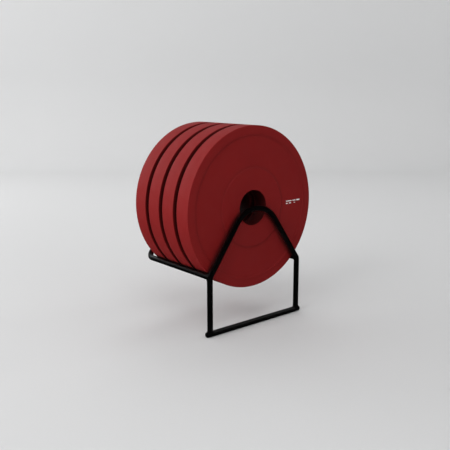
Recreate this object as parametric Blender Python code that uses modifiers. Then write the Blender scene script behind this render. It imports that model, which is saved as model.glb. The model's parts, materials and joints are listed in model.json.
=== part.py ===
"""Cradle rack of bent round steel bar, holding four rubber-coated disc plates on edge.

Units are metres and +Z is up. +Y points to the wall that the back of the rack is screwed to, and the
origin is on the floor, under the middle of the whole rack. The plates stand side by side on two rails,
between a front hoop with legs and a rear hoop without.
"""

import math

import bmesh
import bpy
from mathutils import Vector

# Plates: four equal discs on one common axis, parallel to Y
PLATE_COUNT = 4
PLATE_RADIUS = 0.115
PLATE_THICKNESS = 0.0248
PLATE_PITCH = 0.0332
BORE_RADIUS = 0.025
HUB_RADIUS = 0.0563
RIM_INNER_RADIUS = 0.1012
FACE_RECESS = 0.0008
RECESS_SLOPE = 0.0016
RIM_ROUND = 0.0010
CORE_THICKNESS = 0.0186
CORE_OUTER_RADIUS = 0.1077
BORE_RING_WALL = 0.003

# Round bar of the rack
BAR_RADIUS = 0.004
LEG_HALF_SPAN = 0.0835
FOOT_OVERHANG = 0.0070
FOOT_END_ROUND = 0.0024
AXIS_HEIGHT = 0.1700
ARM_ANGLE = math.radians(54.6)
ARCH_RADIUS = 0.0441
KNEE_RADIUS = 0.009
REAR_BEND_RADIUS = 0.0085
HOOP_TO_FIRST_FACE = 0.0062
REAR_HOOP_FROM_FIRST_FACE = 0.1413

# Flat strap across the back of the rear hoop, with two screw holes
STRAP_WIDTH = 0.110
STRAP_HEIGHT = 0.020
STRAP_THICKNESS = 0.003
STRAP_CORNER = 0.004
STRAP_BELOW_AXIS = 0.030
SCREW_HOLE_RADIUS = 0.0033
SCREW_HALF_SPACING = 0.020

# Weld beads
WELD_LEG = 0.0009
WELD_TIP = 0.00015
WELD_LENGTH = 0.0018
WELD_WRAP = 0.0024
STRAP_WELD_RADIUS = 0.0026
STRAP_WELD_LENGTH = 0.012
STRAP_WELD_OUTWARD = 0.0031
STRAP_WELD_BACKWARD = 0.0032

# Clearance kept between pieces that touch
GAP = 0.0003

# Mesh fineness
TURN_STEPS = 48
RING_STEPS = 32
BAR_RESOLUTION = 4
CUTTER_SIDES = 24
WELD_SIDES = 20
HOLE_SIDES = 16
CORNER_STEPS = 3
FOOT_END_STEPS = 3
BEND_STEP = math.radians(15)
SHARP_ANGLE = math.radians(35)
SQUARE_EDGE_ANGLE = math.radians(60)
MERGE = 0.00001

# Places worked out from the sizes above
FOOT_AXIS_HEIGHT = BAR_RADIUS
RAIL_REACH = PLATE_RADIUS + BAR_RADIUS + GAP
RAIL_HEIGHT = AXIS_HEIGHT - math.sqrt(RAIL_REACH**2 - LEG_HALF_SPAN**2)
STRAP_FRONT_OFFSET = REAR_HOOP_FROM_FIRST_FACE + BAR_RADIUS + GAP
DEPTH_IN_FRONT = HOOP_TO_FIRST_FACE + BAR_RADIUS + WELD_LEG
DEPTH_BEHIND = STRAP_FRONT_OFFSET + STRAP_THICKNESS
FIRST_FACE_Y = (DEPTH_IN_FRONT - DEPTH_BEHIND) / 2
FRONT_PLANE_Y = FIRST_FACE_Y - HOOP_TO_FIRST_FACE
REAR_PLANE_Y = FIRST_FACE_Y + REAR_HOOP_FROM_FIRST_FACE
RAIL_FRONT_Y = FRONT_PLANE_Y + BAR_RADIUS + GAP
ARM_DIRECTION = Vector((math.cos(ARM_ANGLE), 0, math.sin(ARM_ANGLE)))


# ---------------------------------------------------------------------------------------------------
# Scene and materials


def clear_scene():
    for old in list(bpy.data.objects):
        bpy.data.objects.remove(old, do_unlink=True)


def new_collection(name):
    collection = bpy.data.collections.new(name)
    bpy.context.scene.collection.children.link(collection)
    return collection


def principled(name, colour, roughness, metallic=0.0):
    material = bpy.data.materials.new(name)
    material.use_nodes = True
    shader = material.node_tree.nodes["Principled BSDF"]
    shader.inputs["Base Color"].default_value = (*colour, 1)
    shader.inputs["Roughness"].default_value = roughness
    shader.inputs["Metallic"].default_value = metallic
    material.diffuse_color = (*colour, 1)
    return material


clear_scene()
RACK = new_collection("tyre_storage_rack")
CUTTERS = new_collection("cutters")
BLACK_COAT = principled("black_powder_coat", (0.012, 0.012, 0.013), 0.45, 0.2)
RED_RUBBER = principled("red_rubber", (0.23, 0.018, 0.02), 0.6)
CAST_IRON = principled("cast_iron", (0.09, 0.09, 0.095), 0.7, 0.9)
RED_LINER = principled("red_liner", (0.16, 0.012, 0.014), 0.55)


# ---------------------------------------------------------------------------------------------------
# Object helpers


def add_object(name, data, material, collection=RACK):
    item = bpy.data.objects.new(name, data)
    if material is not None:
        data.materials.append(material)
    collection.objects.link(item)
    return item


def shade_round(mesh):
    mesh.shade_smooth()
    mesh.set_sharp_from_angle(angle=SHARP_ANGLE)


def cut_with(target, cutter):
    """Takes the cutter's volume out of the target with a live Boolean."""
    cutter.hide_render = True
    cutter.display_type = "WIRE"
    boolean = target.modifiers.new("cut_" + cutter.name, "BOOLEAN")
    boolean.operation = "DIFFERENCE"
    boolean.solver = "EXACT"
    boolean.object = cutter


def round_body(name, start, end, start_radius, end_radius, sides, material, collection=RACK):
    """A closed cone or cylinder between two points."""
    start = Vector(start)
    end = Vector(end)
    mesh = bpy.data.meshes.new(name)
    bm = bmesh.new()
    bmesh.ops.create_cone(
        bm,
        cap_ends=True,
        segments=sides,
        radius1=start_radius,
        radius2=end_radius,
        depth=(end - start).length,
    )
    bm.to_mesh(mesh)
    bm.free()
    shade_round(mesh)
    body = add_object(name, mesh, material, collection)
    body.location = (start + end) / 2
    body.rotation_mode = "QUATERNION"
    body.rotation_quaternion = (end - start).to_track_quat("Z", "Y")
    return body


def bar(name, points, material=BLACK_COAT):
    """A round bar along a path."""
    curve = bpy.data.curves.new(name, "CURVE")
    curve.dimensions = "3D"
    curve.bevel_depth = BAR_RADIUS
    curve.bevel_resolution = BAR_RESOLUTION
    curve.use_fill_caps = True
    spline = curve.splines.new("POLY")
    spline.points.add(len(points) - 1)
    for target, point in zip(spline.points, points):
        target.co = (*point, 1)
    spline.use_smooth = True
    return add_object(name, curve, material)


def turned(name, profile, steps, material):
    """A closed profile of (radius, height) pairs turned about the object's Z axis."""
    mesh = bpy.data.meshes.new(name)
    vertices = [(radius, 0, height) for radius, height in profile]
    count = len(vertices)
    edges = [(k, (k + 1) % count) for k in range(count)]
    mesh.from_pydata(vertices, edges, [])
    body = add_object(name, mesh, material)
    screw = body.modifiers.new("turn", "SCREW")
    screw.axis = "Z"
    screw.angle = math.tau
    screw.steps = steps
    screw.render_steps = steps
    screw.use_merge_vertices = True
    screw.merge_threshold = MERGE
    screw.use_smooth_shade = False
    return body


# ---------------------------------------------------------------------------------------------------
# Paths of the bent bars


def bend(corner, incoming, outgoing, radius):
    """Points of a round bend that turns from one direction to another at a corner."""
    incoming = incoming.normalized()
    outgoing = outgoing.normalized()
    turn = incoming.angle(outgoing)
    setback = radius * math.tan(turn / 2)
    start = corner - incoming * setback
    side = (outgoing - incoming * incoming.dot(outgoing)).normalized()
    centre = start + side * radius
    count = max(2, math.ceil(turn / BEND_STEP))
    angles = [turn * k / count for k in range(count + 1)]
    return [centre - side * radius * math.cos(a) + incoming * radius * math.sin(a) for a in angles]


def arch(plane_y):
    """Points of the round top of a hoop, left to right, tangent to both arms."""
    count = math.ceil(2 * ARM_ANGLE / BEND_STEP)
    centre_height = AXIS_HEIGHT - ARCH_RADIUS
    points = []
    for k in range(count + 1):
        angle = -ARM_ANGLE + 2 * ARM_ANGLE * k / count
        x = ARCH_RADIUS * math.sin(angle)
        z = centre_height + ARCH_RADIUS * math.cos(angle)
        points.append(Vector((x, plane_y, z)))
    return points


def knee_height():
    """Height at which the leg's line meets the line of the arm."""
    crossing = AXIS_HEIGHT - ARCH_RADIUS + ARCH_RADIUS / math.cos(ARM_ANGLE)
    return crossing - LEG_HALF_SPAN * math.tan(ARM_ANGLE)


def mirrored(points):
    """The same points on the other side, in reverse order."""
    return [Vector((-p.x, p.y, p.z)) for p in reversed(points)]


def front_hoop():
    up = Vector((0, 0, 1))
    foot_top = FOOT_AXIS_HEIGHT + BAR_RADIUS + GAP
    knee = Vector((-LEG_HALF_SPAN, FRONT_PLANE_Y, knee_height()))
    left = [Vector((-LEG_HALF_SPAN, FRONT_PLANE_Y, foot_top))]
    left += bend(knee, up, ARM_DIRECTION, KNEE_RADIUS)
    return bar("front_hoop", left + arch(FRONT_PLANE_Y) + mirrored(left))


def rear_loop():
    back = Vector((0, 1, 0))
    corner = Vector((-LEG_HALF_SPAN, REAR_PLANE_Y, RAIL_HEIGHT))
    rear_arch = arch(REAR_PLANE_Y)
    arm = rear_arch[0] - corner
    left = [Vector((-LEG_HALF_SPAN, RAIL_FRONT_Y, RAIL_HEIGHT))]
    left += bend(corner, back, arm, REAR_BEND_RADIUS)
    return bar("rear_loop", left + rear_arch + mirrored(left))


def foot_bar():
    reach = LEG_HALF_SPAN + FOOT_OVERHANG
    start = (-reach, FRONT_PLANE_Y, FOOT_AXIS_HEIGHT)
    end = (reach, FRONT_PLANE_Y, FOOT_AXIS_HEIGHT)
    body = round_body("foot_bar", start, end, BAR_RADIUS, BAR_RADIUS, WELD_SIDES, BLACK_COAT)
    rounding = body.modifiers.new("round_ends", "BEVEL")
    rounding.width = FOOT_END_ROUND
    rounding.segments = FOOT_END_STEPS
    rounding.limit_method = "ANGLE"
    rounding.angle_limit = SQUARE_EDGE_ANGLE
    return body


# ---------------------------------------------------------------------------------------------------
# Wall strap and welds


def circle_points(x, y, radius, count):
    angles = [math.tau * k / count for k in range(count)]
    return [(x + radius * math.cos(a), y + radius * math.sin(a)) for a in angles]


def rounded_rectangle(width, height, radius):
    points = []
    corners = ((1, 1), (-1, 1), (-1, -1), (1, -1))
    for quarter, (sx, sy) in enumerate(corners):
        cx = sx * (width / 2 - radius)
        cy = sy * (height / 2 - radius)
        for k in range(CORNER_STEPS + 1):
            angle = math.pi / 2 * (quarter + k / CORNER_STEPS)
            points.append((cx + radius * math.cos(angle), cy + radius * math.sin(angle)))
    return points


def wall_strap():
    curve = bpy.data.curves.new("wall_strap", "CURVE")
    curve.dimensions = "2D"
    curve.fill_mode = "BOTH"
    curve.extrude = STRAP_THICKNESS / 2
    outlines = [rounded_rectangle(STRAP_WIDTH, STRAP_HEIGHT, STRAP_CORNER)]
    for side in (-1, 1):
        outlines.append(circle_points(side * SCREW_HALF_SPACING, 0, SCREW_HOLE_RADIUS, HOLE_SIDES))
    for outline in outlines:
        spline = curve.splines.new("POLY")
        spline.points.add(len(outline) - 1)
        for target, (x, y) in zip(spline.points, outline):
            target.co = (x, y, 0, 1)
        spline.use_cyclic_u = True
    strap = add_object("wall_strap", curve, BLACK_COAT)
    middle_y = FIRST_FACE_Y + STRAP_FRONT_OFFSET + STRAP_THICKNESS / 2
    strap.location = (0, middle_y, AXIS_HEIGHT - STRAP_BELOW_AXIS)
    strap.rotation_euler = (math.pi / 2, 0, 0)
    return strap


def clearance_rod(name, start, end):
    """Cutter a little thicker than a bar, so that a weld keeps its gap to that bar."""
    radius = (BAR_RADIUS + GAP) / math.cos(math.pi / CUTTER_SIDES)
    return round_body(name, start, end, radius, radius, CUTTER_SIDES, None, CUTTERS)


def butt_weld(name, joint, direction, wrap=0.0, crossing=None):
    """Bead round the end of a bar that meets the side of another.

    joint is where the two centre lines cross, and direction runs along the ending bar, away from the
    joint. A bead with wrap reaches down round the bar that it meets, which runs along crossing.
    """
    direction = Vector(direction)
    joint = Vector(joint)
    contact = BAR_RADIUS + GAP
    start = joint + direction * (contact - wrap)
    end = joint + direction * (contact + WELD_LENGTH)
    bead = round_body(
        name, start, end, BAR_RADIUS + WELD_LEG, contact + WELD_TIP, WELD_SIDES, BLACK_COAT
    )
    reach = 4 * BAR_RADIUS
    cut_with(bead, clearance_rod(name + "_along", joint, joint + direction * reach))
    if wrap > 0:
        along = Vector(crossing) * reach
        cut_with(bead, clearance_rod(name + "_across", joint - along, joint + along))
    return bead


def foot_weld(name, side):
    joint = (side * LEG_HALF_SPAN, FRONT_PLANE_Y, FOOT_AXIS_HEIGHT)
    return butt_weld(name, joint, (0, 0, 1), WELD_WRAP, (1, 0, 0))


def rail_weld(name, side):
    joint = (side * LEG_HALF_SPAN, FRONT_PLANE_Y, RAIL_HEIGHT)
    return butt_weld(name, joint, (0, 1, 0))


def strap_weld(name, side):
    """Bead along the outer side of a rear arm, in the corner that it makes with the strap."""
    along = Vector((-side * math.cos(ARM_ANGLE), 0, math.sin(ARM_ANGLE)))
    outward = Vector((side * math.sin(ARM_ANGLE), 0, math.cos(ARM_ANGLE)))
    rise = AXIS_HEIGHT - STRAP_BELOW_AXIS - knee_height()
    on_arm = Vector((side * (LEG_HALF_SPAN - rise / math.tan(ARM_ANGLE)), REAR_PLANE_Y, 0))
    on_arm.z = AXIS_HEIGHT - STRAP_BELOW_AXIS
    middle = on_arm + outward * STRAP_WELD_OUTWARD + Vector((0, STRAP_WELD_BACKWARD, 0))
    half = along * STRAP_WELD_LENGTH / 2
    bead = round_body(
        name, middle - half, middle + half, STRAP_WELD_RADIUS, STRAP_WELD_RADIUS, WELD_SIDES, BLACK_COAT
    )
    reach = along * STRAP_WELD_LENGTH
    cut_with(bead, clearance_rod(name + "_arm", on_arm - reach, on_arm + reach))
    mesh = bpy.data.meshes.new(name + "_strap")
    bm = bmesh.new()
    bmesh.ops.create_cube(bm, size=2 * STRAP_HEIGHT)
    bm.to_mesh(mesh)
    bm.free()
    block = add_object(name + "_strap", mesh, None, CUTTERS)
    block.location = on_arm + Vector((0, BAR_RADIUS + STRAP_HEIGHT, 0))
    cut_with(bead, block)
    return bead


# ---------------------------------------------------------------------------------------------------
# Plates


def jacket_profile():
    """Rubber jacket: a C-shaped section, open at the bore, with a sunk ring in each face."""
    half = PLATE_THICKNESS / 2
    sunk = half - FACE_RECESS
    groove = CORE_THICKNESS / 2 + GAP
    upper = [
        (BORE_RADIUS, groove),
        (BORE_RADIUS, half),
        (HUB_RADIUS, half),
        (HUB_RADIUS + RECESS_SLOPE, sunk),
        (RIM_INNER_RADIUS - RECESS_SLOPE, sunk),
        (RIM_INNER_RADIUS, half),
    ]
    for angle in (math.pi / 2, math.pi / 4, 0):
        radius = PLATE_RADIUS - RIM_ROUND + RIM_ROUND * math.cos(angle)
        height = half - RIM_ROUND + RIM_ROUND * math.sin(angle)
        upper.append((radius, height))
    lower = [(radius, -height) for radius, height in reversed(upper)]
    groove_end = CORE_OUTER_RADIUS + GAP
    return upper + lower + [(groove_end, -groove), (groove_end, groove)]


def ring_profile(inner, outer, thickness):
    half = thickness / 2
    return [(inner, half), (outer, half), (outer, -half), (inner, -half)]


def plate(number):
    """One disc: rubber jacket, iron core sealed inside it, and the ring that closes the core's bore."""
    name = f"plate_{number}"
    hub = bpy.data.objects.new(name, None)
    hub.location = (0, FIRST_FACE_Y + PLATE_THICKNESS / 2 + (number - 1) * PLATE_PITCH, AXIS_HEIGHT)
    hub.rotation_euler = (math.pi / 2, 0, 0)
    RACK.objects.link(hub)
    core_bore = BORE_RADIUS + BORE_RING_WALL + GAP
    pieces = [
        turned(name + "_jacket", jacket_profile(), TURN_STEPS, RED_RUBBER),
        turned(
            name + "_core",
            ring_profile(core_bore, CORE_OUTER_RADIUS, CORE_THICKNESS),
            TURN_STEPS,
            CAST_IRON,
        ),
        turned(
            name + "_bore_ring",
            ring_profile(BORE_RADIUS, BORE_RADIUS + BORE_RING_WALL, CORE_THICKNESS),
            RING_STEPS,
            RED_LINER,
        ),
    ]
    for piece in pieces:
        piece.parent = hub
    return hub


# ---------------------------------------------------------------------------------------------------
# Assembly

front_hoop()
rear_loop()
foot_bar()
wall_strap()
for side_name, side_sign in (("left", -1), ("right", 1)):
    foot_weld("foot_weld_" + side_name, side_sign)
    rail_weld("rail_weld_" + side_name, side_sign)
    strap_weld("strap_weld_" + side_name, side_sign)
for plate_number in range(1, PLATE_COUNT + 1):
    plate(plate_number)
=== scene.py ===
"""Looks of the plate storage rack: fine meshes, materials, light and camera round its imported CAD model.

Units are metres and +Z is up. Places come from the boxes of the CAD nodes. The sizes below repeat those
of the design that no box shows.
"""

import json
import math

import bmesh
import bpy
from mathutils import Euler, Matrix, Vector

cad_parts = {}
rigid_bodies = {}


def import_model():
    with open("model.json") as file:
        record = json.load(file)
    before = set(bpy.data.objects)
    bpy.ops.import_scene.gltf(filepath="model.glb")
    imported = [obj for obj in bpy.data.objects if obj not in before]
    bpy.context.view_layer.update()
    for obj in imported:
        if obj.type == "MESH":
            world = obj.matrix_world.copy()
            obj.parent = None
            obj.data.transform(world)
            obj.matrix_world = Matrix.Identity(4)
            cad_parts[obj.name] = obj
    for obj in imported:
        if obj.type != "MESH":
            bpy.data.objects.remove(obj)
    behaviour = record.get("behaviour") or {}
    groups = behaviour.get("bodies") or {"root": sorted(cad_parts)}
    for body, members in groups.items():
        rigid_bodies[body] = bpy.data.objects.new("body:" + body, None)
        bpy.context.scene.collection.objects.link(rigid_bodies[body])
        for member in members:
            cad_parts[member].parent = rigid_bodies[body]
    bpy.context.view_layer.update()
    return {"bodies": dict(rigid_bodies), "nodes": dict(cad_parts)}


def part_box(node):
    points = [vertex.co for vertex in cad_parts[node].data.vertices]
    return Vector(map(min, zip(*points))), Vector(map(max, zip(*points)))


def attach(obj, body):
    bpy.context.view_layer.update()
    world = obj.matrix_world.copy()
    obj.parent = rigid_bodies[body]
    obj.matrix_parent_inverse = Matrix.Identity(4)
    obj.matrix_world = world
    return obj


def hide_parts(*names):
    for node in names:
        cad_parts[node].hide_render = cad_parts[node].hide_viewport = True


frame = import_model()

# Bars: sizes of the design
ARM_ANGLE = math.radians(54.6)
ARCH_RADIUS = 0.0441
KNEE_RADIUS = 0.009
REAR_BEND_RADIUS = 0.0085
FOOT_END_ROUND = 0.0024

# Plates: sizes of the design
BORE_RING_WALL = 0.003
HUB_RADIUS = 0.0563
RIM_INNER_RADIUS = 0.1012
FACE_RECESS = 0.0008

# Clearance that the design keeps between pieces that touch, and the smaller one between finer meshes
GAP = 0.0003
TOUCH = 0.00002

# Plates: finer sizes, for looks only
BORE_EDGE_ROUND = 0.0003
RIM_ROUND = 0.0006
HUB_SLOPE = 0.0030
RIM_SLOPE = 0.0040
LINER_EDGE_ROUND = 0.0004

# Wall strap
STRAP_CORNER = 0.004
STRAP_EDGE_ROUND = 0.0005
SCREW_HOLE_RADIUS = 0.0033
SCREW_HALF_SPACING = 0.020

# Weld beads
BEAD_LEG = 0.0017
BEAD_BULGE = 0.00035
BEAD_RIPPLE = 0.00007
RIPPLE_LENGTH = 0.0011
# Just under 1, so that no section of a bead lies flat at the sides of the bar
BEAD_SIDE_LIMIT = 0.9995

# Beads between the strap and the rear hoop: angles are round the arm, towards the strap
STRAP_BEAD_LENGTH = 0.012
STRAP_BEAD_END_SIZE = 0.07
STRAP_BEAD_ROOT = math.radians(62)
STRAP_BEAD_SPREAD = math.radians(34)
STRAP_BEAD_TOE = math.radians(38)
STRAP_BEAD_LEAN = 0.3

# Printed mark on the front of each plate, right of the bore: two rows of dashes, each given by its start
# from the left end, its length and its height
MARK_LEFT = 0.0663
UPPER_ROW_HEIGHT = 0.0015
UPPER_DASHES = ((0.0, 0.0114, 0.00135), (0.0132, 0.0068, 0.00135), (0.0214, 0.0071, 0.0019))
LOWER_ROW_HEIGHT = -0.0018
LOWER_DASHES = ((0.0, 0.0034, 0.0015), (0.0060, 0.0048, 0.0012), (0.0161, 0.0030, 0.0010))
PRINT_THICKNESS = 0.00012
PRINT_SHOULDER = 0.6
PRINT_TOP_SIZE = 0.9

# Mesh fineness
PLATE_STEPS = 192
BAR_SIDES = 40
BEND_STEP = math.radians(4)
ARC_STEPS = 8
SLOPE_STEPS = 10
LINER_CORNER_STEPS = 4
DASH_END_STEPS = 12
SCREW_HOLE_STEPS = 48
STRAP_EDGE_STEPS = 4
BEAD_STEPS = 144
BEAD_SECTION_STEPS = 10
STRAP_BEAD_STEPS = 60
STRAP_BEAD_SECTION_STEPS = 8
MERGE_DISTANCE = 0.000002
SHARP_ANGLE = math.radians(35)

# First rings of a bar whose end is cut to fit another, in bar radii from that bar's middle
CUT_END_RINGS = (1.6, 2.4)

# Directions
ACROSS = Vector((1, 0, 0))
BACK = Vector((0, 1, 0))
UP = Vector((0, 0, 1))


# ---------------------------------------------------------------------------------------------------
# Places read from the frame


def middle(node):
    low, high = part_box(node)
    return (low + high) / 2


HOOP_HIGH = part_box("front_hoop")[1]
REAR_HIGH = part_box("rear_loop")[1]
FOOT_LOW, FOOT_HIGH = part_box("foot_bar")
STRAP_LOW, STRAP_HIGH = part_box("wall_strap")
JACKET_LOW, JACKET_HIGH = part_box("plate_1_jacket")
CORE_LOW, CORE_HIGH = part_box("plate_1_core")
RING_LOW, RING_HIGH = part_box("plate_1_bore_ring")
PLATES = sorted(name for name in frame["bodies"] if name.startswith("plate_"))

BAR_RADIUS = (FOOT_HIGH.z - FOOT_LOW.z) / 2
HALF_SPAN = HOOP_HIGH.x - BAR_RADIUS
FRONT_Y = middle("front_hoop").y
REAR_Y = REAR_HIGH.y - BAR_RADIUS
PEAK_HEIGHT = HOOP_HIGH.z - BAR_RADIUS
FOOT_HEIGHT = middle("foot_bar").z

PLATE_RADIUS = (JACKET_HIGH.z - JACKET_LOW.z) / 2
PLATE_THICKNESS = JACKET_HIGH.y - JACKET_LOW.y
CORE_RADIUS = (CORE_HIGH.z - CORE_LOW.z) / 2
CORE_THICKNESS = CORE_HIGH.y - CORE_LOW.y
BORE_RADIUS = (RING_HIGH.z - RING_LOW.z) / 2 - BORE_RING_WALL
AXIS_HEIGHT = middle("plate_1_jacket").z
FIRST_FACE = Vector((0, JACKET_LOW.y, AXIS_HEIGHT))

# The rails carry the plates, which gives their height
RAIL_REACH = PLATE_RADIUS + BAR_RADIUS + GAP
RAIL_HEIGHT = AXIS_HEIGHT - math.sqrt(RAIL_REACH**2 - HALF_SPAN**2)


# ---------------------------------------------------------------------------------------------------
# Materials


class Surface:
    """A procedural material being built: a Principled shader with short calls for the nodes it needs."""

    def __init__(self, name):
        self.material = bpy.data.materials.new(name)
        self.material.use_nodes = True
        self.tree = self.material.node_tree
        self.shader = self.tree.nodes["Principled BSDF"]
        self.place = self.tree.nodes.new("ShaderNodeTexCoord").outputs["Object"]

    def add(self, kind, **settings):
        node = self.tree.nodes.new("ShaderNode" + kind)
        for key, value in settings.items():
            setattr(node, key, value)
        return node

    def feed(self, socket, value):
        """Links a node's output to the socket, or sets a plain value on it."""
        if isinstance(value, bpy.types.NodeSocket):
            self.tree.links.new(value, socket)
        elif isinstance(value, tuple) and len(value) == 3 and socket.type == "RGBA":
            socket.default_value = (*value, 1)
        else:
            socket.default_value = value

    def set(self, **values):
        """Sets inputs of the shader, with _ for a space in their names."""
        for key, value in values.items():
            self.feed(self.shader.inputs[key.replace("_", " ")], value)

    def noise(self, size, detail=2.0, seed=0.0):
        """Noise with features about size metres across."""
        mapping = self.add("Mapping")
        mapping.inputs["Location"].default_value = (seed, 2 * seed, 3 * seed)
        self.feed(mapping.inputs["Vector"], self.place)
        noise = self.add("TexNoise")
        self.feed(noise.inputs["Vector"], mapping.outputs["Vector"])
        noise.inputs["Scale"].default_value = 1 / size
        noise.inputs["Detail"].default_value = detail
        return noise.outputs["Fac"]

    def cells(self, size):
        """Distance to the nearest of many random points, about size metres apart."""
        cells = self.add("TexVoronoi")
        self.feed(cells.inputs["Vector"], self.place)
        cells.inputs["Scale"].default_value = 1 / size
        return cells.outputs["Distance"]

    def spread(self, value, low, high, new_low=0.0, new_high=1.0):
        """Maps low..high of a value to a new range, clamped."""
        node = self.add("MapRange")
        self.feed(node.inputs["Value"], value)
        node.inputs["From Min"].default_value = low
        node.inputs["From Max"].default_value = high
        node.inputs["To Min"].default_value = new_low
        node.inputs["To Max"].default_value = new_high
        return node.outputs["Result"]

    def calculate(self, operation, first, second=0.0):
        node = self.add("Math", operation=operation)
        self.feed(node.inputs[0], first)
        self.feed(node.inputs[1], second)
        return node.outputs["Value"]

    def mix(self, factor, first, second):
        """Colour between two others."""
        node = self.add("Mix", data_type="RGBA")
        self.feed(node.inputs["Factor"], factor)
        self.feed(node.inputs[6], first)
        self.feed(node.inputs[7], second)
        return node.outputs[2]

    def even(self, noise, new_low=0.0, new_high=1.0):
        """Noise spread over a new range, from the range that most of it lies in."""
        return self.spread(noise, 0.3, 0.7, new_low, new_high)

    def radius(self):
        """Distance from the piece's own Y axis."""
        flatten = self.add("VectorMath", operation="MULTIPLY")
        self.feed(flatten.inputs[0], self.place)
        flatten.inputs[1].default_value = (1, 0, 1)
        length = self.add("VectorMath", operation="LENGTH")
        self.feed(length.inputs[0], flatten.outputs["Vector"])
        return length.outputs["Value"]

    def crevices(self, reach, low, high):
        """1 in corners and gaps where something is near on most sides, 0 in the open: an ambient
        occlusion mask, which the rubber uses to paint shade.
        """
        node = self.add("AmbientOcclusion", samples=8)
        node.inputs["Distance"].default_value = reach
        return self.spread(node.outputs["AO"], low, high, 1.0, 0.0)

    def depth(self):
        """Distance from the piece's own middle, along its Y axis."""
        parts = self.add("SeparateXYZ")
        self.feed(parts.inputs[0], self.place)
        return self.calculate("ABSOLUTE", parts.outputs["Y"])

    def near_radius(self, radius, reach, strength):
        """A band round the piece's own Y axis that fades out over reach on both sides of a radius."""
        distance = self.calculate("ABSOLUTE", self.calculate("SUBTRACT", self.radius(), radius))
        return self.spread(distance, 0.0, reach, strength, 0.0)

    def bump(self, height, depth):
        """Bumps of a height from 0 to 1 that is depth metres deep, over those made before."""
        node = self.add("Bump")
        node.inputs["Strength"].default_value = 1.0
        node.inputs["Distance"].default_value = depth
        self.feed(node.inputs["Height"], height)
        normal = self.shader.inputs["Normal"]
        if normal.is_linked:
            self.feed(node.inputs["Normal"], normal.links[0].from_socket)
        self.feed(normal, node.outputs["Normal"])


# Rubber: sizes and depths of its noise, and the ranges of noise that count as a scuff or as dark grain
CLOUD_SIZE = 0.045
RUBBER_GRAIN_SIZE = 0.0009
RUBBER_GRAIN_DEPTH = 0.00003
DARK_GRAIN = (0.55, 0.8)
DARK_GRAIN_STRENGTH = 0.12
DENT_SIZE = 0.006
DENT_DEPTH = 0.00006
SCUFF_SIZE = 0.007
SCUFF_RANGE = (0.50, 0.72)
SCUFF_STRENGTH = 0.07
RUBBER_SHINE_SIZE = 0.02
RUBBER_ROUGHNESS = (0.58, 0.70)
RUBBER_SPECULAR = 0.22
# Distances from the outer edge between which the scuffs fade out
SCUFF_BAND = (0.0012, 0.0020)
# Painted shade: radius, reach to each side and strength at the foot of hub and rim, radii and strength in
# the bore, and for crevices how far they look and how open they are where the painted shade is full and
# where it ends
HUB_PAINTED_SHADE = (HUB_RADIUS + 0.0009, 0.0040, 0.15)
RIM_PAINTED_SHADE = (RIM_INNER_RADIUS + 0.0010, 0.0055, 0.09)
BORE_SHADE_BAND = (BORE_RADIUS + 0.00005, BORE_RADIUS + 0.0002)
BORE_PAINTED_SHADE = 0.8
CREVICE_SHADE = (0.03, 0.34, 0.70)


def moulded_rubber(name, colour, pale, dark, painted_shade):
    """Hard rubber from a mould: fine grain, clouds of colour, scuffs along the outer edge, and painted
    shade.

    The painted shade lies at the foot of the hub and of the rim, in the bore, and wherever plates stand
    close.
    """
    surface = Surface(name)
    clouds = surface.even(surface.noise(CLOUD_SIZE, detail=3.0))
    grain = surface.noise(RUBBER_GRAIN_SIZE, detail=1.0, seed=3.0)
    patches = surface.spread(surface.noise(SCUFF_SIZE, detail=5.0, seed=7.0), *SCUFF_RANGE)
    below_tread = surface.calculate("SUBTRACT", PLATE_RADIUS, surface.radius())
    below_face = surface.calculate("SUBTRACT", PLATE_THICKNESS / 2, surface.depth())
    edge = surface.spread(surface.calculate("ADD", below_tread, below_face), *SCUFF_BAND, 1.0, 0.0)
    scuffs = surface.calculate("MULTIPLY", patches, edge)
    tone = surface.mix(clouds, dark, colour)
    tone = surface.mix(surface.calculate("MULTIPLY", scuffs, SCUFF_STRENGTH), tone, pale)
    tone = surface.mix(surface.spread(grain, *DARK_GRAIN, 0.0, DARK_GRAIN_STRENGTH), tone, dark)
    # Painted shade: darker at the foot of the hub and of the rim, in the bore, and in crevices where
    # something is near on most sides
    tone = surface.mix(surface.near_radius(*HUB_PAINTED_SHADE), tone, painted_shade)
    tone = surface.mix(surface.near_radius(*RIM_PAINTED_SHADE), tone, painted_shade)
    tone = surface.mix(surface.spread(surface.radius(), *BORE_SHADE_BAND, BORE_PAINTED_SHADE, 0.0), tone, painted_shade)
    tone = surface.mix(surface.crevices(*CREVICE_SHADE), tone, painted_shade)
    shine = surface.even(surface.noise(RUBBER_SHINE_SIZE, detail=3.0, seed=11.0), *RUBBER_ROUGHNESS)
    surface.set(Base_Color=tone, Roughness=shine, Specular_IOR_Level=RUBBER_SPECULAR)
    surface.bump(surface.noise(DENT_SIZE, detail=2.0, seed=5.0), DENT_DEPTH)
    surface.bump(grain, RUBBER_GRAIN_DEPTH)
    return surface.material


# Black coat. A nib's edge is given by the distance from its middle, in spacings
COAT_COLOUR = (0.0045, 0.0045, 0.0046)
COAT_DUST_COLOUR = (0.0130, 0.0130, 0.0134)
COAT_DUST_SIZE = 0.030
COAT_DUST_RANGE = (0.5, 0.8)
COAT_DUST_STRENGTH = 0.25
COAT_PEEL_SIZE = 0.0014
COAT_PEEL_DEPTH = 0.00006
NIB_SPACING = 0.0050
NIB_EDGE = (0.05, 0.10)
NIB_DEPTH = 0.00003
COAT_SHINE_SIZE = 0.010
COAT_ROUGHNESS = (0.34, 0.46)
COAT_SPECULAR = 0.36


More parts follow.
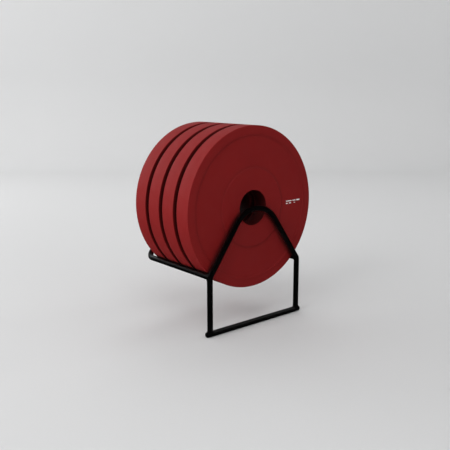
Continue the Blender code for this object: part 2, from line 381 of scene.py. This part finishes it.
def powder_coat(name):
    """Black powder coat on steel bar: orange peel, small nibs and a little dust."""
    surface = Surface(name)
    peel = surface.noise(COAT_PEEL_SIZE, detail=1.5)
    dust = surface.noise(COAT_DUST_SIZE, detail=4.0, seed=2.0)
    dust = surface.spread(dust, *COAT_DUST_RANGE, 0.0, COAT_DUST_STRENGTH)
    nibs = surface.spread(surface.cells(NIB_SPACING), *NIB_EDGE, 1.0, 0.0)
    tone = surface.mix(dust, COAT_COLOUR, COAT_DUST_COLOUR)
    shine = surface.even(surface.noise(COAT_SHINE_SIZE, detail=3.0, seed=4.0), *COAT_ROUGHNESS)
    surface.set(Base_Color=tone, Roughness=shine, Specular_IOR_Level=COAT_SPECULAR)
    surface.bump(peel, COAT_PEEL_DEPTH)
    surface.bump(nibs, NIB_DEPTH)
    return surface.material


# Iron. Metallic is given where there is no rust and where rust is full
IRON_DARK = (0.050, 0.050, 0.053)
IRON_PALE = (0.12, 0.12, 0.125)
SAND_SIZE = 0.0012
SAND_DEPTH = 0.0002
RUST_COLOUR = (0.16, 0.06, 0.03)
RUST_SIZE = 0.018
RUST_RANGE = (0.55, 0.72)
RUST_STRENGTH = 0.5
IRON_METALLIC = (0.85, 0.2)
IRON_ROUGHNESS = (0.55, 0.8)


def cast_iron(name):
    """Grey iron as cast, with a sandy skin and some rust."""
    surface = Surface(name)
    sand = surface.noise(SAND_SIZE, detail=5.0)
    rust = surface.spread(surface.noise(RUST_SIZE, detail=5.0, seed=6.0), *RUST_RANGE)
    tone = surface.mix(surface.even(sand), IRON_DARK, IRON_PALE)
    tone = surface.mix(surface.calculate("MULTIPLY", rust, RUST_STRENGTH), tone, RUST_COLOUR)
    metal = surface.spread(rust, 0.0, 1.0, *IRON_METALLIC)
    surface.set(Base_Color=tone, Metallic=metal, Roughness=surface.even(sand, *IRON_ROUGHNESS))
    surface.bump(sand, SAND_DEPTH)
    return surface.material


# White print. Its roughness is given where it isn't worn and where it is worn most
PRINT_COLOUR = (0.92, 0.91, 0.90)
WORN_COLOUR = (0.50, 0.22, 0.22)
WEAR_SIZE = 0.0012
WEAR_RANGE = (0.62, 0.72)
WEAR_STRENGTH = 0.5
PRINT_ROUGHNESS = (0.5, 0.7)
PRINT_GRAIN_SIZE = 0.0006
PRINT_GRAIN_DEPTH = 0.00002


def printed_paint(name):
    """White pad print, a little worn."""
    surface = Surface(name)
    worn = surface.spread(surface.noise(WEAR_SIZE, detail=4.0), *WEAR_RANGE, 0.0, WEAR_STRENGTH)
    tone = surface.mix(worn, PRINT_COLOUR, WORN_COLOUR)
    shine = surface.spread(worn, 0.0, WEAR_STRENGTH, *PRINT_ROUGHNESS)
    surface.set(Base_Color=tone, Roughness=shine)
    surface.bump(surface.noise(PRINT_GRAIN_SIZE, detail=2.0, seed=1.0), PRINT_GRAIN_DEPTH)
    return surface.material


# Paper of the backdrop
PAPER_DARK = (0.708, 0.711, 0.714)
PAPER_PALE = (0.718, 0.721, 0.724)
FIBRE_SIZE = 0.0025
FIBRE_DEPTH = 0.00004
PAPER_ROUGHNESS = 0.95
PAPER_SPECULAR = 0.1


def studio_paper(name):
    """Matt pale grey paper of the backdrop."""
    surface = Surface(name)
    fibre = surface.noise(FIBRE_SIZE, detail=4.0)
    tone = surface.mix(surface.even(fibre), PAPER_DARK, PAPER_PALE)
    surface.set(Base_Color=tone, Roughness=PAPER_ROUGHNESS, Specular_IOR_Level=PAPER_SPECULAR)
    surface.bump(fibre, FIBRE_DEPTH)
    return surface.material


# The last colour of each rubber is painted shade, for the foot of its hub and rim, its bore and its
# crevices
RUBBER = moulded_rubber(
    "red_moulded_rubber",
    colour=(0.248, 0.0060, 0.0063),
    pale=(0.30, 0.060, 0.055),
    dark=(0.233, 0.0054, 0.0057),
    painted_shade=(0.035, 0.0012, 0.0012),
)
LINER = moulded_rubber(
    "red_hard_liner",
    colour=(0.130, 0.0022, 0.0020),
    pale=(0.150, 0.0100, 0.0100),
    dark=(0.115, 0.0018, 0.0017),
    painted_shade=(0.040, 0.0009, 0.0009),
)
BAR_COAT = powder_coat("black_powder_coat")
BEAD_COAT = powder_coat("black_coat_on_bead")
IRON = cast_iron("grey_cast_iron")
PRINT = printed_paint("white_pad_print")
PAPER = studio_paper("pale_backdrop_paper")


# ---------------------------------------------------------------------------------------------------
# Mesh helpers

# Black pieces that some of the soft boxes leave out: all of them, and the front hoop alone
BARS = bpy.data.collections.new("bars")
HOOP = bpy.data.collections.new("hoop")


def bridge(bm, rows):
    """Faces between each closed row of vertices and the next."""
    for row, other in zip(rows, rows[1:]):
        for k in range(len(row)):
            following = (k + 1) % len(row)
            bm.faces.new((row[k], row[following], other[following], other[k]))


def finished(bm, name):
    """The mesh of a bmesh, with its normals outward."""
    bmesh.ops.recalc_face_normals(bm, faces=bm.faces)
    mesh = bpy.data.meshes.new(name)
    bm.to_mesh(mesh)
    bm.free()
    return mesh


def loft(name, rings, cyclic, cap_centres=(None, None)):
    """A closed mesh through rings of points. Open ends get a flat cap, or a fan round a given centre."""
    bm = bmesh.new()
    rows = [[bm.verts.new(point) for point in ring] for ring in rings]
    bridge(bm, rows + rows[:1] if cyclic else rows)
    if not cyclic:
        for row, centre in zip((rows[0], rows[-1]), cap_centres):
            if centre is None:
                bm.faces.new(row)
                continue
            hub = bm.verts.new(centre)
            for k in range(len(row)):
                bm.faces.new((row[k], row[(k + 1) % len(row)], hub))
    return finished(bm, name)


def add_piece(name, mesh, material, body, replaced=(), location=(0, 0, 0)):
    """Puts a finished mesh in the scene on a CAD body, in place of the CAD nodes that it stands for."""
    mesh.shade_smooth()
    mesh.set_sharp_from_angle(angle=SHARP_ANGLE)
    mesh.materials.append(material)
    piece = bpy.data.objects.new(name, mesh)
    bpy.context.scene.collection.objects.link(piece)
    piece.location = location
    if material in (BAR_COAT, BEAD_COAT):
        BARS.objects.link(piece)
    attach(piece, body)
    if replaced:
        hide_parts(*replaced)
    return piece


def quarter(centre, radius, start_degrees, end_degrees, steps=ARC_STEPS):
    """Points of an arc in a flat section."""
    points = []
    for k in range(steps + 1):
        angle = math.radians(start_degrees + (end_degrees - start_degrees) * k / steps)
        points.append((centre[0] + radius * math.cos(angle), centre[1] + radius * math.sin(angle)))
    return points


def slope(start, end):
    """Points of a smooth step, level at both ends, in a flat section."""
    points = []
    for k in range(SLOPE_STEPS + 1):
        share = k / SLOPE_STEPS
        rise = (1 - math.cos(math.pi * share)) / 2
        points.append((start[0] + (end[0] - start[0]) * share, start[1] + (end[1] - start[1]) * rise))
    return points


def turned(name, profile):
    """A closed profile of (radius, distance to the front) pairs turned about the Y axis."""
    rings = []
    for k in range(PLATE_STEPS):
        angle = math.tau * k / PLATE_STEPS
        rings.append([(r * math.cos(angle), -front, r * math.sin(angle)) for r, front in profile])
    return loft(name, rings, cyclic=True)


def tube(name, path, radii=None, ends=(None, None)):
    """A round bar along a path. An end with a joint and a crossing direction is cut to fit that bar."""
    radii = radii or [BAR_RADIUS] * len(path)
    count = len(path)
    directions = []
    for k in range(count):
        directions.append((path[min(k + 1, count - 1)] - path[max(k - 1, 0)]).normalized())
    side = directions[0].orthogonal().normalized()
    rings = []
    for k, (point, direction, radius) in enumerate(zip(path, directions, radii)):
        if k > 0:
            side = directions[k - 1].rotation_difference(direction) @ side
        other = direction.cross(side)
        angles = [math.tau * step / BAR_SIDES for step in range(BAR_SIDES)]
        rings.append([point + (side * math.cos(a) + other * math.sin(a)) * radius for a in angles])
    centres = [None, None]
    for which, outward in ((0, -directions[0]), (-1, directions[-1])):
        if ends[which] is not None:
            joint, crossing = ends[which]
            rings[which] = [cope(point, outward, joint, crossing) for point in rings[which]]
            centres[which] = cope(path[which], outward, joint, crossing)
    return loft(name, rings, cyclic=False, cap_centres=centres)


def cope(point, outward, joint, crossing):
    """The point slid along outward until it meets the round bar through joint along crossing."""
    offset = point - joint
    offset = offset - crossing * offset.dot(crossing)
    heading = outward - crossing * outward.dot(crossing)
    reach = BAR_RADIUS + TOUCH
    a = heading.length_squared
    b = offset.dot(heading)
    c = offset.length_squared - reach**2
    return point + outward * ((-b - math.sqrt(max(b * b - a * c, 0))) / a)


# ---------------------------------------------------------------------------------------------------
# Paths of the bent bars


def bend(corner, incoming, outgoing, radius):
    """Points of a round bend that turns from one direction to another at a corner."""
    turn = incoming.angle(outgoing)
    start = corner - incoming * radius * math.tan(turn / 2)
    inward = (outgoing - incoming * incoming.dot(outgoing)).normalized()
    centre = start + inward * radius
    count = math.ceil(turn / BEND_STEP)
    angles = [turn * k / count for k in range(count + 1)]
    return [centre - inward * radius * math.cos(a) + incoming * radius * math.sin(a) for a in angles]


def arch(plane_y):
    """Points of the round top of a hoop, left to right, tangent to both arms."""
    count = math.ceil(2 * ARM_ANGLE / BEND_STEP)
    points = []
    for k in range(count + 1):
        angle = -ARM_ANGLE + 2 * ARM_ANGLE * k / count
        height = PEAK_HEIGHT - ARCH_RADIUS + ARCH_RADIUS * math.cos(angle)
        points.append(Vector((ARCH_RADIUS * math.sin(angle), plane_y, height)))
    return points


def arm_height(x):
    """Height of an arm's centre line at a distance x from the middle."""
    crossing = PEAK_HEIGHT - ARCH_RADIUS + ARCH_RADIUS / math.cos(ARM_ANGLE)
    return crossing - abs(x) * math.tan(ARM_ANGLE)


def mirrored(points):
    """The same points on the other side, in reverse order."""
    return [Vector((-p.x, p.y, p.z)) for p in reversed(points)]


def knee_middle(side):
    """Middle of a front knee's bend, and the direction of the bar there."""
    turn = math.pi / 2 - ARM_ANGLE
    corner = Vector((side * HALF_SPAN, FRONT_Y, arm_height(HALF_SPAN)))
    inward = Vector((-side * math.cos(turn / 2), 0, -math.sin(turn / 2)))
    cut_corner = KNEE_RADIUS * (1 / math.cos(turn / 2) - 1)
    along = Vector((-side * math.sin(turn / 2), 0, math.cos(turn / 2)))
    return corner + inward * cut_corner, along


# ---------------------------------------------------------------------------------------------------
# The rack


def front_hoop():
    arm = Vector((math.cos(ARM_ANGLE), 0, math.sin(ARM_ANGLE)))
    joint = Vector((-HALF_SPAN, FRONT_Y, FOOT_HEIGHT))
    left = [joint + UP * reach * BAR_RADIUS for reach in CUT_END_RINGS]
    left += bend(Vector((-HALF_SPAN, FRONT_Y, arm_height(HALF_SPAN))), UP, arm, KNEE_RADIUS)
    path = left + arch(FRONT_Y) + mirrored(left)
    other_joint = Vector((HALF_SPAN, FRONT_Y, FOOT_HEIGHT))
    mesh = tube("front_hoop_bar", path, ends=((joint, ACROSS), (other_joint, ACROSS)))
    bar = add_piece("front_hoop_bar", mesh, BAR_COAT, "rack", ["front_hoop"])
    HOOP.objects.link(bar)


def rear_loop():
    corner = Vector((-HALF_SPAN, REAR_Y, RAIL_HEIGHT))
    top = arch(REAR_Y)
    start = Vector((-HALF_SPAN, FRONT_Y, RAIL_HEIGHT))
    left = [start + BACK * reach * BAR_RADIUS for reach in CUT_END_RINGS]
    left += bend(corner, BACK, (top[0] - corner).normalized(), REAR_BEND_RADIUS)
    path = left + top + mirrored(left)
    mesh = tube("rear_loop_bar", path, ends=(knee_middle(-1), knee_middle(1)))
    add_piece("rear_loop_bar", mesh, BAR_COAT, "rack", ["rear_loop"])


def foot_bar():
    """Straight bar with rounded ends."""
    path = []
    radii = []
    end_centre = (FOOT_HIGH.x - FOOT_END_ROUND, BAR_RADIUS - FOOT_END_ROUND)
    for x, radius in quarter(end_centre, FOOT_END_ROUND, 0, 90):
        path.append(Vector((-x, FRONT_Y, FOOT_HEIGHT)))
        radii.append(radius)
    path += mirrored(path)
    radii += radii[::-1]
    mesh = tube("foot_bar_rod", path, radii)
    add_piece("foot_bar_rod", mesh, BAR_COAT, "rack", ["foot_bar"])


def ripple(distance):
    """Height of the ripples along a bead, between 0 and 1."""
    return abs(math.sin(math.pi * distance / RIPPLE_LENGTH))


def round_bead(name, joint, direction, crossing, node):
    """Bead all round the end of a bar that meets the side of another bar of the same radius.

    Each section runs from a toe on the ending bar, over the bead, to a toe on the crossed bar, and back
    along both bars' surfaces.
    """
    across = direction.cross(crossing)
    reach = BAR_RADIUS + TOUCH

    def on_ending(angle, height):
        outward = crossing * math.cos(angle) + across * math.sin(angle)
        return joint + outward * reach + direction * height

    def on_crossed(x, tilt):
        return joint + crossing * x + (across * math.sin(tilt) + direction * math.cos(tilt)) * reach

    rings = []
    for k in range(BEAD_STEPS):
        angle = math.tau * k / BEAD_STEPS
        tilt = math.asin(math.sin(angle) * BEAD_SIDE_LIMIT)
        foot = reach * math.cos(tilt)
        far_tilt = tilt * (1 + BEAD_LEG / BAR_RADIUS / (math.pi / 2))
        first = on_ending(angle, foot + BEAD_LEG)
        last = on_crossed((reach + BEAD_LEG) * math.cos(angle), far_tilt)
        inner = on_ending(angle, foot)
        first_normal = crossing * math.cos(angle) + across * math.sin(angle)
        last_normal = across * math.sin(far_tilt) + direction * math.cos(far_tilt)
        lift = BEAD_BULGE + BEAD_RIPPLE * ripple(angle * BAR_RADIUS)
        ring = []
        for step in range(BEAD_SECTION_STEPS + 1):
            share = step / BEAD_SECTION_STEPS
            point = first * (1 - share) ** 2 + inner * 2 * share * (1 - share) + last * share**2
            normal = (first_normal * (1 - share) + last_normal * share).normalized()
            ring.append(point + normal * lift * math.sin(math.pi * share))
        for share in (0.75, 0.5, 0.25):
            wrap = tilt + (far_tilt - tilt) * share
            x = (reach + BEAD_LEG * share) * math.cos(angle)
            ring.append(on_crossed(x, wrap))
        ring.append(inner)
        ring.append(on_ending(angle, foot + BEAD_LEG / 2))
        rings.append(ring)
    mesh = loft(name, rings, cyclic=True)
    add_piece(name, mesh, BEAD_COAT, "rack", [node])


def strap_bead(name, side, node):
    """Bead along the outer side of a rear arm, in the corner that the arm makes with the strap."""
    along = Vector((-side * math.cos(ARM_ANGLE), 0, math.sin(ARM_ANGLE)))
    outward = Vector((side * math.sin(ARM_ANGLE), 0, math.cos(ARM_ANGLE)))
    height = middle("wall_strap").z
    x = HALF_SPAN - (height - arm_height(HALF_SPAN)) / math.tan(ARM_ANGLE)
    on_arm = Vector((side * x, REAR_Y, height))
    reach = BAR_RADIUS + TOUCH
    strap_gap = STRAP_LOW.y - REAR_Y - TOUCH
    root = STRAP_BEAD_ROOT
    rings = []
    for k in range(STRAP_BEAD_STEPS + 1):
        share = 2 * k / STRAP_BEAD_STEPS - 1
        fullness = math.sqrt(max(1 - share**6, 0.0))
        size = fullness * (1 - STRAP_BEAD_END_SIZE) + STRAP_BEAD_END_SIZE
        place = on_arm + along * share * STRAP_BEAD_LENGTH / 2
        lift = (BEAD_BULGE + BEAD_RIPPLE * ripple(share * STRAP_BEAD_LENGTH / 2)) * size
        toe = root - STRAP_BEAD_SPREAD * size
        strap_toe = math.cos(root) * reach + BAR_RADIUS * math.tan(STRAP_BEAD_TOE) * size
        toe_normal = (outward * math.cos(toe) + BACK * math.sin(toe)).normalized()
        first = outward * math.cos(toe) * reach + BACK * math.sin(toe) * reach
        last = outward * strap_toe + BACK * strap_gap
        ring = []
        for step in range(STRAP_BEAD_SECTION_STEPS + 1):
            t = step / STRAP_BEAD_SECTION_STEPS
            point = first * (1 - t) ** 2 + (first + last) * t * (1 - t) + last * t**2
            normal = (toe_normal * (1 - t) - BACK * t + outward * STRAP_BEAD_LEAN).normalized()
            ring.append(place + point + normal * lift * math.sin(math.pi * t))
        ring.append(place + (outward * math.cos(root) * reach + BACK * strap_gap))
        for angle in (root, (toe + root) / 2):
            ring.append(place + (outward * math.cos(angle) + BACK * math.sin(angle)) * reach)
        rings.append(ring)
    mesh = loft(name, rings, cyclic=False)
    add_piece(name, mesh, BEAD_COAT, "rack", [node])


def wall_strap():
    """Flat strap with rounded corners, soft edges and two screw holes."""
    centre = middle("wall_strap")
    half_width = (STRAP_HIGH.x - STRAP_LOW.x) / 2
    half_height = (STRAP_HIGH.z - STRAP_LOW.z) / 2
    outlines = [[]]
    for start, sx, sy in ((0, 1, 1), (90, -1, 1), (180, -1, -1), (270, 1, -1)):
        corner = (sx * (half_width - STRAP_CORNER), sy * (half_height - STRAP_CORNER))
        outlines[0] += quarter(corner, STRAP_CORNER, start, start + 90)
    for side in (-1, 1):
        hole = quarter((side * SCREW_HALF_SPACING, 0), SCREW_HOLE_RADIUS, 0, 360, SCREW_HOLE_STEPS)
        outlines.append(hole[:-1])
    curve = bpy.data.curves.new("wall_strap_outline", "CURVE")
    curve.dimensions = "2D"
    curve.fill_mode = "BOTH"
    curve.extrude = (STRAP_HIGH.y - STRAP_LOW.y) / 2 - STRAP_EDGE_ROUND
    curve.bevel_depth = STRAP_EDGE_ROUND
    curve.bevel_resolution = STRAP_EDGE_STEPS
    curve.offset = -STRAP_EDGE_ROUND
    for outline in outlines:
        spline = curve.splines.new("POLY")
        spline.points.add(len(outline) - 1)
        for point, (x, y) in zip(spline.points, outline):
            point.co = (x, y, 0, 1)
        spline.use_cyclic_u = True
    guide = bpy.data.objects.new("wall_strap_outline", curve)
    mesh = bpy.data.meshes.new_from_object(guide)
    bpy.data.objects.remove(guide)
    bm = bmesh.new()
    bm.from_mesh(mesh)
    bmesh.ops.remove_doubles(bm, verts=bm.verts, dist=MERGE_DISTANCE)
    bmesh.ops.recalc_face_normals(bm, faces=bm.faces)
    for vertex in bm.verts:
        x, y, z = vertex.co
        vertex.co = (centre.x + x, centre.y - z, centre.z + y)
    bm.to_mesh(mesh)
    bm.free()
    strap = add_piece("wall_strap_plate", mesh, BAR_COAT, "rack", ["wall_strap"])
    weighted = strap.modifiers.new("flat_faces", "WEIGHTED_NORMAL")
    weighted.keep_sharp = True


# ---------------------------------------------------------------------------------------------------
# The plates


def cover_profile():
    """Section of the rubber cover: open at the bore, hub and rim raised, soft edges, a sunk ring."""
    half = PLATE_THICKNESS / 2
    sunk = half - FACE_RECESS
    groove = CORE_THICKNESS / 2 + GAP
    upper = [(BORE_RADIUS, groove)]
    upper += quarter((BORE_RADIUS + BORE_EDGE_ROUND, half - BORE_EDGE_ROUND), BORE_EDGE_ROUND, 180, 90)
    upper += slope((HUB_RADIUS - HUB_SLOPE / 2, half), (HUB_RADIUS + HUB_SLOPE / 2, sunk))
    upper += slope((RIM_INNER_RADIUS - RIM_SLOPE / 2, sunk), (RIM_INNER_RADIUS + RIM_SLOPE / 2, half))
    upper += quarter((PLATE_RADIUS - RIM_ROUND, half - RIM_ROUND), RIM_ROUND, 90, 0)
    lower = [(radius, -front) for radius, front in reversed(upper)]
    seat = CORE_RADIUS + GAP
    return upper + lower + [(seat, -groove), (seat, groove)]


def liner_profile():
    """Section of the ring that lines the bore."""
    half = CORE_THICKNESS / 2
    outer = BORE_RADIUS + BORE_RING_WALL
    soft = LINER_EDGE_ROUND
    points = []
    corners = (
        (BORE_RADIUS + soft, half - soft, 180),
        (outer - soft, half - soft, 90),
        (outer - soft, soft - half, 0),
        (BORE_RADIUS + soft, soft - half, -90),
    )
    for radius, front, start in corners:
        points += quarter((radius, front), soft, start, start - 90, LINER_CORNER_STEPS)
    return points


def mark():
    """Two rows of dashes, each dash a thin pad of print with a round outline, as one mesh."""
    bm = bmesh.new()
    front = PLATE_THICKNESS / 2 - FACE_RECESS
    levels = (
        (1.0, TOUCH),
        (1.0, PRINT_THICKNESS * PRINT_SHOULDER),
        (PRINT_TOP_SIZE, PRINT_THICKNESS),
    )
    for height, dashes in ((UPPER_ROW_HEIGHT, UPPER_DASHES), (LOWER_ROW_HEIGHT, LOWER_DASHES)):
        for start, length, thickness in dashes:
            radius = thickness / 2
            left = MARK_LEFT + start + radius
            right = MARK_LEFT + start + length - radius
            outline = quarter((right, height), radius, -90, 90, DASH_END_STEPS)
            outline += quarter((left, height), radius, 90, 270, DASH_END_STEPS)
            rows = []
            for shrink, level in levels:
                row = []
                for x, z in outline:
                    near = min(max(x, left), right)
                    place = (near + (x - near) * shrink, -front - level, height + (z - height) * shrink)
                    row.append(bm.verts.new(place))
                rows.append(row)
            bridge(bm, rows)
            bm.faces.new(rows[0])
            bm.faces.new(rows[-1])
    return finished(bm, "mark")


def plate(name):
    centre = middle(name + "_jacket")
    cover = turned(name + "_cover", cover_profile())
    add_piece(name + "_cover", cover, RUBBER, name, [name + "_jacket"], centre)
    liner = turned(name + "_liner", liner_profile())
    add_piece(name + "_liner", liner, LINER, name, [name + "_bore_ring"], centre)
    add_piece(name + "_mark", mark(), PRINT, name, (), centre)
    core = frame["nodes"][name + "_core"]
    core.data.materials.clear()
    core.data.materials.append(IRON)


front_hoop()
rear_loop()
foot_bar()
wall_strap()
for side_name, side_sign in (("left", -1), ("right", 1)):
    leg_foot = Vector((side_sign * HALF_SPAN, FRONT_Y, FOOT_HEIGHT))
    round_bead("foot_bead_" + side_name, leg_foot, UP, ACROSS, "foot_weld_" + side_name)
    knee, knee_along = knee_middle(side_sign)
    rail_front = Vector((knee.x, knee.y, RAIL_HEIGHT))
    round_bead("rail_bead_" + side_name, rail_front, BACK, knee_along, "rail_weld_" + side_name)
    strap_bead("strap_bead_" + side_name, side_sign, "strap_weld_" + side_name)
for plate_name in PLATES:
    plate(plate_name)


# ---------------------------------------------------------------------------------------------------
# Stage, light and camera

WALL_AHEAD = 2.05
WALL_BEHIND = 3.4
WALL_ASIDE = 4.0
WALL_HEIGHT = 4.0
WALL_CORNER_RADIUS = 1.5
COVE_RADIUS = 0.4
COVE_STEPS = 24
CAMERA_FROM_FIRST_FACE = Vector((-0.6146, -0.6739, 0.1660))
CAMERA_TILT = math.radians(11.84)
CAMERA_TURN = math.radians(39.88)
CAMERA_ROLL = math.radians(0.085)
CAMERA_LENS = 52.59
CAMERA_SENSOR = 36


def backdrop():
    """Floor that sweeps up into a wall all round. The wall behind the object is square to the view."""
    levels = []
    for k in range(COVE_STEPS + 1):
        angle = math.pi / 2 * k / COVE_STEPS
        levels.append((COVE_RADIUS * (1 - math.sin(angle)), COVE_RADIUS * (1 - math.cos(angle))))
    levels.append((0.0, WALL_HEIGHT))
    right = WALL_ASIDE - WALL_CORNER_RADIUS
    ahead = WALL_AHEAD - WALL_CORNER_RADIUS
    behind = WALL_CORNER_RADIUS - WALL_BEHIND
    corners = ((right, ahead, 0), (-right, ahead, 90), (-right, behind, 180), (right, behind, 270))
    bm = bmesh.new()
    rows = []
    for inset, height in levels:
        row = []
        for x, y, start in corners:
            for point in quarter((x, y), WALL_CORNER_RADIUS - inset, start, start + 90):
                row.append(bm.verts.new(in_studio(*point, height)))
        rows.append(row)
    bridge(bm, rows)
    bm.faces.new(rows[0])
    mesh = finished(bm, "backdrop")
    mesh.shade_smooth()
    mesh.materials.append(PAPER)
    sheet = bpy.data.objects.new("backdrop", mesh)
    bpy.context.scene.collection.objects.link(sheet)
    sheet.visible_glossy = False


# Soft boxes: name, place and target (right, ahead, up, as the camera looks), side, power in watts, and
# the black pieces that it leaves out
SOFT_BOXES = (
    ("key_front_left", (-1.6, -1.6, 1.3), (0, 0, 0.1), 1.4, 25.6, BARS),
    ("side_left", (-2.2, 0, 0.9), (0, 0, 0.1), 1.4, 15.3, BARS),
    ("side_left_all", (-2.2, 0, 0.9), (0, 0, 0.1), 1.4, 2.8, None),
    ("back_left", (-1.6, 1.4, 1.3), (0, 0, 0.1), 1.2, 10.1, None),
    ("fill_front_right", (1.6, -1.6, 1.2), (0, 0, 0.1), 1.4, 5.4, BARS),
    ("top_front", (0, -1.3, 2.0), (0, 0, 0), 1.4, 12.2, BARS),
    ("top_back", (0, 1.3, 2.0), (0, 0, 0), 1.4, 10.3, None),
    ("top_right", (1.3, 0, 2.0), (0, 0, 0), 1.4, 5.3, HOOP),
    ("wall_right", (2.2, 1.0, 1.4), (1.0, 2.4, 0.8), 1.0, 8.2, HOOP),
    ("wall_left", (-1.3, 0.9, 0.6), (-0.9, 1.6, 0.0), 0.8, 0.85, None),
)


def in_studio(right, ahead, up):
    """A place given as the camera looks, in the row frame."""
    x = right * math.cos(CAMERA_TURN) + ahead * math.sin(CAMERA_TURN)
    y = ahead * math.cos(CAMERA_TURN) - right * math.sin(CAMERA_TURN)
    return Vector((x, y, up))


def soft_box(name, place, target, side, power, left_out):
    lamp = bpy.data.lights.new(name, "AREA")
    lamp.size = side
    lamp.energy = power
    holder = bpy.data.objects.new(name, lamp)
    bpy.context.scene.collection.objects.link(holder)
    start = in_studio(*place)
    holder.location = start
    holder.rotation_euler = (in_studio(*target) - start).to_track_quat("-Z", "Y").to_euler()
    if left_out:
        holder.light_linking.receiver_collection = left_out


def light_up():
    """Lamps give all the light: the world is black."""
    for settings in SOFT_BOXES:
        soft_box(*settings)
    for group in (BARS, HOOP):
        for entry in group.collection_objects:
            entry.light_linking.link_state = "EXCLUDE"
    world = bpy.data.worlds.new("studio")
    world.use_nodes = True
    world.node_tree.nodes["Background"].inputs["Strength"].default_value = 0.0
    bpy.context.scene.world = world
    bpy.context.scene.view_settings.view_transform = "Standard"


def point_camera():
    lens = bpy.data.cameras.new("camera")
    lens.lens = CAMERA_LENS
    lens.sensor_width = CAMERA_SENSOR
    camera = bpy.data.objects.new("camera", lens)
    bpy.context.scene.collection.objects.link(camera)
    camera.location = FIRST_FACE + CAMERA_FROM_FIRST_FACE
    level = Euler((math.pi / 2 - CAMERA_TILT, 0, -CAMERA_TURN)).to_matrix()
    camera.rotation_euler = (level @ Matrix.Rotation(-CAMERA_ROLL, 3, "Z")).to_euler()
    bpy.context.scene.camera = camera


backdrop()
light_up()
point_camera()
